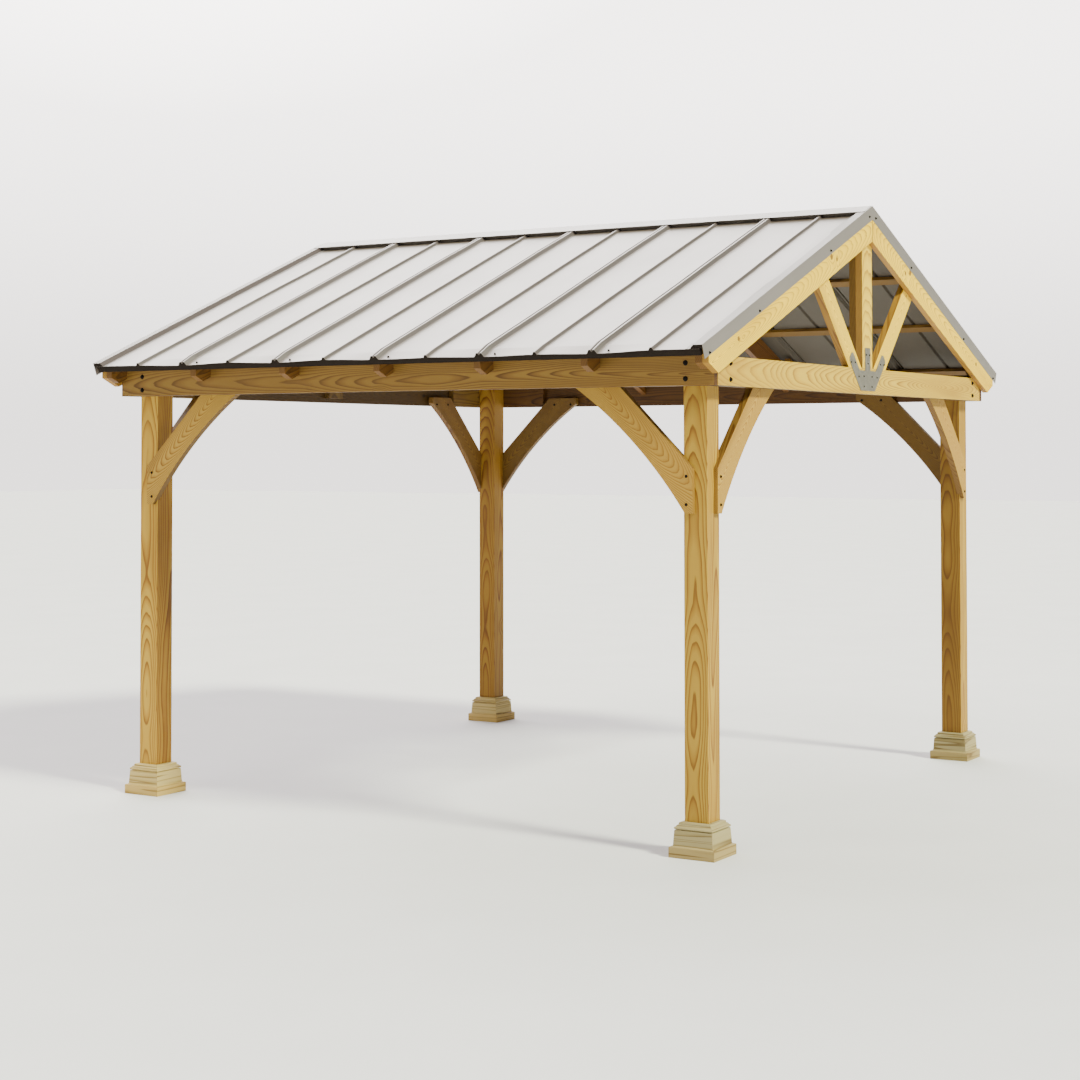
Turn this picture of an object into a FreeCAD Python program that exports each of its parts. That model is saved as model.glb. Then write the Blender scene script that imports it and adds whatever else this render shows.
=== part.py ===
"""Garden pavilion: four posts, braced eave beams, a pitched ribbed roof.

Millimetres. X runs along the ridge, Y across it, Z up; the origin is the
middle of the base. The long eave at -Y is the front, the gable at +X the right.
"""
import FreeCAD, Part
import math
import os

V = FreeCAD.Vector
os.makedirs("parts", exist_ok=True)

# Posts and boards
POST = 120.0            # square post
SPAN_X = 3290.0         # post centres along the ridge
SPAN_Y = 3348.0         # post centres across the ridge
BOARD = 36.0            # thickness of beams, packers, braces, king posts and inner rafters
GABLE_BOARD = 32.0      # thickness of the gable rafters
DEPTH = 135.0           # depth of beams, packers and rafters, width of the king posts
BEAM_Z = 2130.0         # underside of the beams
EASE = 2.5              # rounded edges of posts and beams

# Moulded skirt at the foot of each post
SKIRT_BASE = 230.0      # width over the bottom block
SKIRT_MID = 197.0       # width over the middle block
SKIRT_LIP = 207.0       # width over the lip of the top moulding
SKIRT_NECK = 20.0       # moulding left on the post at its top, both sides together
SKIRT_BASE_H = 48.0     # height of the bottom block
SKIRT_COVE_H = 9.0      # height of the cove above it
SKIRT_MID_TOP = 118.0   # top of the middle block
SKIRT_LIP_H = 11.0      # height of the flat lip
SKIRT_H = 158.5         # whole height
COVE_BOW = 2.6          # rise of the small cove
SWELL_BOW = 3.6         # rise of the rounded half of the top moulding
HOLLOW_BOW = 3.6        # rise of its hollow half

# Knee braces
BRACE_REACH = 318.0     # straight edge meets post and beam this far from the corner
BRACE_LAP = 56.0        # lap on the post and on the beam
BRACE_END = 206.0       # length of the cut ends
BRACE_TOE = 40.0        # short flat at the tip of each end
BRACE_SAG = 42.0        # rise of the hollow edge
BRACE_LET = 15.0        # let into the post by this much

# Roof frame
PITCH = math.radians(22.3)
HEEL_STAND = 71.5       # rafter top above the beam at its outer face
TAIL_OUT = 118.0        # rafter ends run this far past the beam
NOSE_H = 62.0           # height of the plumb cut at the rafter ends
NOSE_CUT = math.radians(24.2)       # fall of the sloping cut below it
TAIL_DEPTH = 105.0      # depth of the short tails
TAIL_SEAT = 141.0       # short tails reach this far in past the beam
TAILS = 7               # short tails along each eave, the end ones behind the gable rafters
MID_RAFTER_OFF = 71.0   # the two inner rafter pairs stand this far inside the tails beside them
BATTEN_T = 18.0         # roof battens
BATTEN_W = 64.0
BATTEN_ROWS = 4
BATTEN_FIRST = 150.0    # first batten from the ridge
BATTEN_LAST = 40.0      # last batten from the rafter ends
BATTEN_GAP = 3.0        # batten ends stop short of the gable flashing

# Gable frame
STRUT_W = 122.0
STRUT_LEAN = math.radians(45.5)
STRUT_FOOT = 167.0      # strut centre line at the tie beam, from the middle
STRUT_HIDE = 20.0       # strut stops this far below the top of the rafter
KING_LAP = 109.0        # inner king board laps down behind the tie beam

# Three-pronged steel plate at the foot of each king post
PLATE_T = 3.0
PLATE_BASE = 97.0       # half width of its lower edge
PLATE_RISE = 18.0       # lower edge above the underside of the beam
PLATE_MID = 35.0        # half width of the middle prong
PLATE_TOP = 243.0       # top of the middle prong above the underside of the beam
PLATE_NOTCH = 123.0     # notch between the prongs
PLATE_ARM = 32.0        # half width of the side prongs
PLATE_REACH = 90.0      # length of the side prongs beyond the beam top
PLATE_TIP = 14.0        # clipped corners

# Roof covering
SHEET_T = 1.2
SHEET_GAP = 17.5        # sheets stop this far inside the gable rafters' outer faces
EAVE_DRIP = 60.0        # sheets run this far past the rafter ends
SHEET_RIDGE = 14.0      # sheets start this far down the slope
RIB_FIRST = 310.0       # first rib from the left end of the roof
BAY = 305.0             # rib spacing, slim and wide ribs in turn
RIB_H = 19.0
RIB_BASE, RIB_TOP = 58.0, 28.0      # wide ribs
SLIM_BASE, SLIM_TOP = 34.0, 15.0    # slim ribs between them
CAP_LEG = 92.0          # ridge cap, along the slope
CAP_HEM = 12.0          # doubled edge of the ridge cap
CAP_SHORT = 6.0         # ridge cap stops this far inside the gables
TRIM_DROP = 29.0        # gable flashing hangs this far below the rafter top line, measured square
TRIM_FLAT = 46.0        # its raised top
TRIM_SLOPE = 18.0       # its inner slope
TRIM_FOOT = 24.0        # its foot on the sheet
CLOSER_D = 24.0         # closer strip under the eave edge
CLOSER_DROP = 20.0      # strip hangs this far below the sheet

# Derived places
HX, HY = SPAN_X / 2, SPAN_Y / 2
HP = POST / 2
SIDE_IN = HY + HP                   # outer post face, front and back
SIDE_MID = SIDE_IN + BOARD          # outer face of the packers
SIDE_OUT = SIDE_MID + BOARD         # outer face of the side beams
TIE_IN = HX + HP
TIE_MID = TIE_IN + BOARD
TIE_OUT = TIE_MID + BOARD
GABLE_OUT = TIE_OUT + GABLE_BOARD   # outer face of the gable rafters
BEAM_TOP = BEAM_Z + DEPTH
COS, SIN, TAN = math.cos(PITCH), math.sin(PITCH), math.tan(PITCH)
RAFTER_PLUMB = DEPTH / COS          # rafter depth measured upright
RAFTER_APEX = BEAM_TOP + HEEL_STAND + SIDE_OUT * TAN
TAIL_STEP = (TIE_MID + TIE_OUT) / (TAILS - 1)
MID_RAFTER_X = TAIL_STEP - MID_RAFTER_OFF
TAIL_Y = SIDE_OUT + TAIL_OUT
TAIL_BACK = SIDE_MID - TAIL_SEAT
SHEET_HALF = GABLE_OUT - SHEET_GAP
SHEET_EAVE = TAIL_Y + EAVE_DRIP
LOW = BATTEN_T + SHEET_T            # top of the sheet above the rafters, between ribs
HIGH = LOW + RIB_H                  # and on the ribs


def box(x0, x1, y0, y1, z0, z1):
    """Block between two opposite corners given in any order."""
    x0, x1 = sorted((x0, x1))
    y0, y1 = sorted((y0, y1))
    z0, z1 = sorted((z0, z1))
    return Part.makeBox(x1 - x0, y1 - y0, z1 - z0, V(x0, y0, z0))


def slab_yz(points, x0, x1):
    """Outline in Y and Z pushed from x0 to x1."""
    pts = [V(x0, y, z) for y, z in points]
    return Part.Face(Part.makePolygon(pts + pts[:1])).extrude(V(x1 - x0, 0, 0))


def ease(shape, axis):
    """Round the long edges of a board that runs along the axis."""
    edges = [e for e in shape.Edges if abs(e.tangentAt(e.FirstParameter).dot(axis)) > 0.999]
    return shape.makeFillet(EASE, edges)


def arc(a, c, bow):
    """Arc from a to c in the YZ plane, bowed square to its chord."""
    mid = (a + c) * 0.5 + V(0, a.z - c.z, c.y - a.y).normalize() * bow
    return Part.Arc(a, mid, c).toShape()


def mirror(shape, normal):
    return shape.mirror(V(0, 0, 0), normal)


def both_x(shape):
    return [shape, mirror(shape, V(1, 0, 0))]


def both_y(shape):
    return [shape, mirror(shape, V(0, 1, 0))]


def save(name, shapes):
    """Write one node; several loose pieces go in as one compound."""
    shapes = shapes if isinstance(shapes, list) else [shapes]
    solids = [s for shape in shapes for s in shape.Solids]
    out = solids[0] if len(solids) == 1 else Part.makeCompound(solids)
    out.exportStep("parts/%s.step" % name)


def rafter_top(y):
    return RAFTER_APEX - abs(y) * TAN


def rafter_under(y):
    return rafter_top(y) - RAFTER_PLUMB


def skirt():
    """Moulded block about a post, cut by the same outline on all four sides."""
    b, m, l, n = SKIRT_BASE / 2, SKIRT_MID / 2, SKIRT_LIP / 2, HP + SKIRT_NECK / 2
    cove_top = SKIRT_BASE_H + SKIRT_COVE_H
    lip_top = SKIRT_MID_TOP + SKIRT_LIP_H
    turn = ((l + n) / 2, (lip_top + SKIRT_H) / 2)

    def side(s):
        p = [V(0, s * r, z) for r, z in [
            (b, 0), (b, SKIRT_BASE_H), (m, cove_top), (m, SKIRT_MID_TOP), (l, SKIRT_MID_TOP),
            (l, lip_top), turn, (n, SKIRT_H)]]
        return [Part.makeLine(p[0], p[1]), arc(p[1], p[2], s * COVE_BOW), Part.makeLine(p[2], p[3]),
                Part.makeLine(p[3], p[4]), Part.makeLine(p[4], p[5]), arc(p[5], p[6], -s * SWELL_BOW),
                arc(p[6], p[7], s * HOLLOW_BOW)]
    edges = side(1) + [Part.makeLine(V(0, n, SKIRT_H), V(0, -n, SKIRT_H))]
    edges += side(-1) + [Part.makeLine(V(0, -b, 0), V(0, b, 0))]
    along = Part.Face(Part.Wire(Part.__sortEdges__(edges))).extrude(V(SKIRT_BASE, 0, 0))
    along.translate(V(-b, 0, 0))
    across = along.copy()
    across.rotate(V(0, 0, 0), V(0, 0, 1), 90)
    return along.common(across).cut(box(-HP, HP, -HP, HP, -1, SKIRT_H + 1))


def brace():
    """Knee brace in a plane: first coordinate from the post face, second down from the beam."""
    far = BRACE_REACH + BRACE_LAP + BRACE_END
    tip = (-BRACE_LAP + BRACE_TOE, far)
    top = (far, -BRACE_LAP + BRACE_TOE)
    mid = (tip[0] + top[0]) / 2 - BRACE_SAG / math.sqrt(2)
    p = lambda a: V(a[0], 0, BEAM_Z - a[1])
    pts = [top, (far, -BRACE_LAP), (BRACE_REACH + BRACE_LAP, -BRACE_LAP),
           (-BRACE_LAP, BRACE_REACH + BRACE_LAP), (-BRACE_LAP, far), tip]
    edges = [Part.makeLine(p(a), p(b)) for a, b in zip(pts, pts[1:])]
    edges.append(Part.Arc(p(tip), p((mid, mid)), p(top)).toShape())
    return Part.Face(Part.Wire(edges)).extrude(V(0, BOARD, 0))


def side_brace():
    """Right front brace: it runs from the post's left side towards -X, on the front face."""
    shape = mirror(brace(), V(1, 0, 0))
    shape.translate(V(HX - HP, BRACE_LET - SIDE_MID, 0))
    return shape


def tie_brace():
    """Right front brace in the gable plane: it runs towards +Y."""
    shape = brace()
    shape.rotate(V(0, 0, 0), V(0, 0, 1), 90)
    shape.translate(V(TIE_MID - BRACE_LET, -HY + HP, 0))
    return shape


def rafter_end(inner, depth):
    """Outline of a rafter from inner to its cut end: a plumb cut, then a sloping one to the underside."""
    drop = depth / COS
    run = (drop - NOSE_H) / (math.tan(NOSE_CUT) + TAN)
    heel = TAIL_Y - run
    return [(inner, rafter_top(inner)), (TAIL_Y, rafter_top(TAIL_Y)), (TAIL_Y, rafter_top(TAIL_Y) - NOSE_H),
            (heel, rafter_top(heel) - drop), (inner, rafter_top(inner) - drop)]


def on_slope(s, n):
    """Point s down the back slope and n square above the rafter line, as Y and Z."""
    return (s * COS + n * SIN, RAFTER_APEX - s * SIN + n * COS)


def slope_sweep(section, s0, s1):
    """Section in X and height above the rafter line, run down the back slope."""
    pts = [V(x, *on_slope(s0, n)) for x, n in section]
    run = s1 - s0
    return Part.Face(Part.makePolygon(pts + pts[:1])).extrude(V(0, run * COS, -run * SIN))


def rib_line(low, high):
    """Upper line of the ribbed sheet from left to right, slim and wide ribs in turn."""
    pts = [(-SHEET_HALF, low)]
    x, slim = RIB_FIRST - GABLE_OUT, True
    while x + RIB_BASE / 2 < GABLE_OUT - TRIM_FLAT - TRIM_SLOPE - TRIM_FOOT:
        base, top = (SLIM_BASE, SLIM_TOP) if slim else (RIB_BASE, RIB_TOP)
        pts += [(x - base / 2, low), (x - top / 2, high), (x + top / 2, high), (x + base / 2, low)]
        x, slim = x + BAY, not slim
    return pts + [(SHEET_HALF, low)]


# Posts and skirts
CORNERS = {"front_right": (1, -1), "front_left": (-1, -1), "back_right": (1, 1), "back_left": (-1, 1)}
post = ease(box(-HP, HP, -HP, HP, 0, BEAM_TOP), V(0, 0, 1))
post.translate(V(HX, -HY, 0))
post = post.cut(side_brace()).cut(tie_brace())
foot = skirt()
for place, (sx, sy) in CORNERS.items():
    here = V(sx * HX, sy * HY, 0)
    turned = post if sx > 0 else mirror(post, V(1, 0, 0))
    save("post_" + place, turned if sy < 0 else mirror(turned, V(0, 1, 0)))
    save("skirt_" + place, foot.translated(here))

# Eave beams and tie beams
side_beam = ease(box(-TIE_OUT, TIE_OUT, -SIDE_OUT, -SIDE_MID, BEAM_Z, BEAM_TOP), V(1, 0, 0))
tie_beam = ease(box(TIE_MID, TIE_OUT, -SIDE_MID, SIDE_MID, BEAM_Z, BEAM_TOP), V(0, 1, 0))
for name, shape in zip(("side_beam_front", "side_beam_back"), both_y(side_beam)):
    save(name, shape)
for name, shape in zip(("tie_beam_right", "tie_beam_left"), both_x(tie_beam)):
    save(name, shape)

# Packers between posts and beams
side_packer = box(HX - HP - BRACE_REACH, TIE_MID, -SIDE_MID, -SIDE_IN, BEAM_Z, BEAM_TOP)
tie_packer = box(TIE_IN, TIE_MID, -SIDE_IN, -HY + HP + BRACE_REACH, BEAM_Z, BEAM_TOP)
save("packers_eave", both_y(Part.makeCompound(both_x(side_packer))))
save("packers_gable", both_y(Part.makeCompound(both_x(tie_packer))))

# Knee braces, two to a side
for name, shape in zip(("braces_front", "braces_back"), both_y(Part.makeCompound(both_x(side_brace())))):
    save(name, shape)
for name, shape in zip(("braces_right", "braces_left"), both_x(Part.makeCompound(both_y(tie_brace())))):
    save(name, shape)

# Gable rafters
far = (TAIL_Y + DEPTH) / COS
bar = slab_yz([on_slope(-DEPTH, 0), on_slope(far, 0), on_slope(far, -DEPTH), on_slope(-DEPTH, -DEPTH)],
              TIE_OUT, GABLE_OUT)
half_rafter = ease(bar, V(0, COS, -SIN)).common(slab_yz(rafter_end(0, DEPTH), TIE_OUT, GABLE_OUT))
for end, sx in (("right", 1), ("left", -1)):
    for side, sy in (("back", 1), ("front", -1)):
        shape = half_rafter if sx > 0 else mirror(half_rafter, V(1, 0, 0))
        save("gable_rafter_%s_%s" % (end, side), shape if sy > 0 else mirror(shape, V(0, 1, 0)))

# King posts: an outer board on the tie beam and an inner board behind both
k = DEPTH / 2
king_head = [(k, rafter_top(k)), (0, rafter_top(0)), (-k, rafter_top(k))]
king_outer = slab_yz([(-k, BEAM_TOP), (k, BEAM_TOP)] + king_head, TIE_MID, TIE_OUT)
king_inner = slab_yz([(-k, BEAM_TOP - KING_LAP), (k, BEAM_TOP - KING_LAP)] + king_head, TIE_IN, TIE_MID)
for name, shape in zip(("king_post_right", "king_post_left"), both_x(king_outer)):
    save(name, shape)
save("king_backers", both_x(king_inner))

# Struts either side of the king posts
aim = V(0, math.cos(STRUT_LEAN), math.sin(STRUT_LEAN))
off = V(0, aim.z, -aim.y)
start = V(0, STRUT_FOOT, BEAM_TOP)
long, wide = aim * (RAFTER_APEX - BEAM_TOP) * 2, off * (STRUT_W / 2)
bar = [start - long - wide, start - long + wide, start + long + wide, start + long - wide]
room = [(k, BEAM_TOP), (SIDE_OUT, BEAM_TOP), (SIDE_OUT, rafter_top(SIDE_OUT) - STRUT_HIDE),
        (k, rafter_top(k) - STRUT_HIDE)]
strut = slab_yz([(p.y, p.z) for p in bar], TIE_MID, TIE_OUT).common(slab_yz(room, TIE_MID, TIE_OUT))
for name, shape in zip(("struts_right", "struts_left"), both_x(Part.makeCompound(both_y(strut)))):
    save(name, shape)

# Three-pronged steel plates
tip = start + aim * PLATE_REACH
plate_half = [
    (PLATE_BASE, BEAM_Z + PLATE_RISE),
    *[(p.y, p.z) for p in (tip + off * PLATE_ARM - aim * PLATE_TIP, tip + off * (PLATE_ARM - PLATE_TIP),
                           tip - off * (PLATE_ARM - PLATE_TIP), tip - off * PLATE_ARM - aim * PLATE_TIP)],
]
drop = start - off * PLATE_ARM
fall = (drop.z - (BEAM_Z + PLATE_NOTCH)) / aim.z
plate_half += [(drop.y - aim.y * fall, BEAM_Z + PLATE_NOTCH), (PLATE_MID, BEAM_Z + PLATE_NOTCH),
               (PLATE_MID, BEAM_Z + PLATE_TOP)]
plate = slab_yz(plate_half + [(-y, z) for y, z in reversed(plate_half)], TIE_OUT, TIE_OUT + PLATE_T)
save("gusset_plates", both_x(plate))

# Ridge board between the king posts, bevelled to both slopes
b = BOARD / 2
ridge = slab_yz([(b, rafter_top(b)), (0, rafter_top(0)), (-b, rafter_top(b)),
                 (-b, RAFTER_APEX - DEPTH), (b, RAFTER_APEX - DEPTH)], -TIE_IN, TIE_IN)
save("ridge_board", ridge)

# Inner rafters, notched over the side beams
mid = slab_yz([(b, rafter_top(b)), (SIDE_OUT, rafter_top(SIDE_OUT)), (SIDE_OUT, rafter_under(SIDE_OUT)),
               (b, rafter_under(b))], -b, b).cut(box(-BOARD, BOARD, SIDE_MID, TAIL_Y, BEAM_Z, BEAM_TOP))
mids = Part.makeCompound([mid.translated(V(s * MID_RAFTER_X, 0, 0)) for s in (-1, 1)])
for name, shape in zip(("mid_rafters_back", "mid_rafters_front"), both_y(mids)):
    save(name, shape)

# Short rafter tails along the eaves
tail = slab_yz(rafter_end(TAIL_BACK, TAIL_DEPTH), -b, b).cut(
    box(-BOARD, BOARD, 0, SIDE_OUT, BEAM_Z, BEAM_TOP))
tails = Part.makeCompound([tail.translated(V((i - (TAILS - 1) / 2) * TAIL_STEP, 0, 0)) for i in range(TAILS)])
for name, shape in zip(("rafter_tails_back", "rafter_tails_front"), both_y(tails)):
    save(name, shape)

# Roof battens
rows = []
half = GABLE_OUT - BATTEN_GAP
for i in range(BATTEN_ROWS):
    s = (BATTEN_FIRST + i * (TAIL_Y - BATTEN_LAST - BATTEN_FIRST) / (BATTEN_ROWS - 1)) / COS
    pts = [on_slope(s - BATTEN_W / 2, 0), on_slope(s + BATTEN_W / 2, 0),
           on_slope(s + BATTEN_W / 2, BATTEN_T), on_slope(s - BATTEN_W / 2, BATTEN_T)]
    rows.append(slab_yz(pts, -half, half))
for name, shape in zip(("battens_back", "battens_front"), both_y(Part.makeCompound(rows))):
    save(name, shape)

# Ribbed sheets
s_end = (SHEET_EAVE - BATTEN_T * SIN) / COS
upper = rib_line(LOW, HIGH)
under = [(x, n - SHEET_T) for x, n in upper]
sheet = slope_sweep(upper + under[::-1], SHEET_RIDGE, s_end)
for name, shape in zip(("roof_sheet_back", "roof_sheet_front"), both_y(sheet)):
    save(name, shape)

# Closer strips under the eave edge, with a plug in the hollow end of each flashing
floor = BATTEN_T - CLOSER_DROP
strip = slope_sweep(under + [(SHEET_HALF, floor), (-SHEET_HALF, floor)], s_end - CLOSER_D, s_end)
plug = slope_sweep([(GABLE_OUT, LOW), (GABLE_OUT, HIGH), (GABLE_OUT - TRIM_FLAT + SHEET_T, HIGH),
                    (GABLE_OUT - TRIM_FLAT + SHEET_T, LOW)], s_end - CLOSER_D, s_end)
for name, shape in zip(("eave_closer_back", "eave_closer_front"),
                       both_y(Part.makeCompound([strip] + both_x(plug)))):
    save(name, shape)

# Ridge cap over the flashings and ribs, its edges doubled
cap = []
lift = HIGH + SHEET_T
for sy in (1, -1):
    ring = [(0, RAFTER_APEX + lift / COS), on_slope(CAP_LEG, lift), on_slope(CAP_LEG, lift + 2 * SHEET_T),
            on_slope(CAP_LEG - CAP_HEM, lift + 2 * SHEET_T), on_slope(CAP_LEG - CAP_HEM, lift + SHEET_T),
            (0, RAFTER_APEX + (lift + SHEET_T) / COS)]
    cap.append(slab_yz([(sy * y, z) for y, z in ring], CAP_SHORT - GABLE_OUT, GABLE_OUT - CAP_SHORT))
save("ridge_cap", cap[0].fuse(cap[1]).removeSplitter())

# Folded flashings over the gable edges
g, t = GABLE_OUT, SHEET_T
section = [
    (g, -TRIM_DROP), (g + t, -TRIM_DROP), (g + t, HIGH + t), (g + t - TRIM_FLAT, HIGH + t),
    (g + t - TRIM_FLAT - TRIM_SLOPE, LOW + t), (g + t - TRIM_FLAT - TRIM_SLOPE - TRIM_FOOT, LOW + t),
    (g + t - TRIM_FLAT - TRIM_SLOPE - TRIM_FOOT, LOW), (g - TRIM_FLAT - TRIM_SLOPE + t, LOW),
    (g - TRIM_FLAT + t, HIGH), (g, HIGH),
]
flash = slope_sweep(section, -CAP_LEG, s_end)
flash = flash.common(box(0, g + t, 0, SHEET_EAVE + CAP_LEG, 0, RAFTER_APEX + CAP_LEG))
for end, sx in (("right", 1), ("left", -1)):
    for side, sy in (("back", 1), ("front", -1)):
        shape = flash if sx > 0 else mirror(flash, V(1, 0, 0))
        save("gable_flashing_%s_%s" % (end, side), shape if sy > 0 else mirror(shape, V(0, 1, 0)))
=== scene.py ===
"""Looks of the garden pavilion: treated pine, coated steel roof, black structural screws.

Metres, in the frame of the CAD model: X along the ridge, Y across it, Z up. The CAD
pieces keep their shapes and get their finishes here, apart from three kinds that finer
shapes replace: the roof sheets, the foam strips at the eaves and the post skirts.
"""
import bpy
import bmesh
import math
from mathutils import Matrix, Vector, noise


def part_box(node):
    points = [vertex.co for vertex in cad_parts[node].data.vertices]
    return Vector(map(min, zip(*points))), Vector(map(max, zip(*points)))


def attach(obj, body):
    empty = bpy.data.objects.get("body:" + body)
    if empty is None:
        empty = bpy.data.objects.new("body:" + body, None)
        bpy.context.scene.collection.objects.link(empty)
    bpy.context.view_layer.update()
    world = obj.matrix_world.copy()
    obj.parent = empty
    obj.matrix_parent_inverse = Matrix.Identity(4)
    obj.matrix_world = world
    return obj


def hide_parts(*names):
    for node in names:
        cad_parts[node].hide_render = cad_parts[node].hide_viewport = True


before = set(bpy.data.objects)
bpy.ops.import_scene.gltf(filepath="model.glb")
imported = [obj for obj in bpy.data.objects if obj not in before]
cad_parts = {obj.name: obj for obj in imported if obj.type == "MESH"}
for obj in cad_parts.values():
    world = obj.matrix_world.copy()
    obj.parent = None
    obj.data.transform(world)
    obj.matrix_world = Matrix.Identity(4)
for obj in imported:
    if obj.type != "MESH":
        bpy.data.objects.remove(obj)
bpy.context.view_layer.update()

HALF_X, HALF_Y = 1.645, 1.674               # post centres
TIE_X, SIDE_Y, PLATE_X = 1.777, 1.806, 1.780        # outer faces: tie beams, eave beams, plates on the tie beams
BRACE_X, BRACE_Y = (1.690, 1.726), (1.719, 1.755)   # inner and outer faces of the knee braces
PITCH, LEAN = math.radians(22.3), math.radians(45.5)        # of the roof, and of the struts
TAIL_STEP = 0.5863                          # rafter tails along the eave
FAR = 10.0                                  # half a spacing, for boards that don't repeat in a direction


# ---------------------------------------------------------------- nodes
def srgb(code):
    """Linear colour from an sRGB hex code."""
    parts = [int(code[i:i + 2], 16) / 255 for i in (0, 2, 4)]
    return tuple(c / 12.92 if c <= 0.04045 else ((c + 0.055) / 1.055) ** 2.4 for c in parts) + (1.0,)


def add(tree, kind, inputs=None, out=0, **settings):
    """Add a node, set its properties, fill or link its inputs; returns one output or several."""
    node = tree.nodes.new(kind)
    for name, value in settings.items():
        setattr(node, name, value)
    for key, value in (inputs or {}).items():
        if isinstance(value, bpy.types.NodeSocket):
            tree.links.new(value, node.inputs[key])
        else:
            node.inputs[key].default_value = value
    return node.outputs[out] if len(node.outputs) else node


def set_stops(fac, stops):
    """Fill the colour band of a ramp, given one of its outputs."""
    band = fac.node.color_ramp
    while len(band.elements) < len(stops):
        band.elements.new(0.5)
    for element, (place, colour) in zip(band.elements, stops):
        element.position, element.color = place, colour
    return fac


def blank(name):
    """New material with an empty node tree."""
    mat = bpy.data.materials.new(name)
    mat.use_nodes = True
    mat.node_tree.nodes.clear()
    return mat, mat.node_tree


def surface(tree, colour, rough, height, depth, **sockets):
    """Close a material: bump of a real depth in metres, shader, output."""
    bump = add(tree, "ShaderNodeBump", {"Height": height, "Distance": depth, "Strength": 0.6})
    sockets = {key.replace("_", " "): value for key, value in sockets.items()}
    sockets.update({"Base Color": colour, "Roughness": rough, "Normal": bump})
    shader = add(tree, "ShaderNodeBsdfPrincipled", sockets)
    add(tree, "ShaderNodeOutputMaterial", {"Surface": shader})


# ---------------------------------------------------------------- treated pine
def lie(along, across, tilt=0.0):
    """Turn of a board whose length and width point these ways; tilt: slope of the pith out of its face."""
    along, across = Vector(along), Vector(across)
    along = (along + along.cross(across) * tilt).normalized()
    return Matrix((along, across, along.cross(across))).transposed().to_euler()


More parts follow.
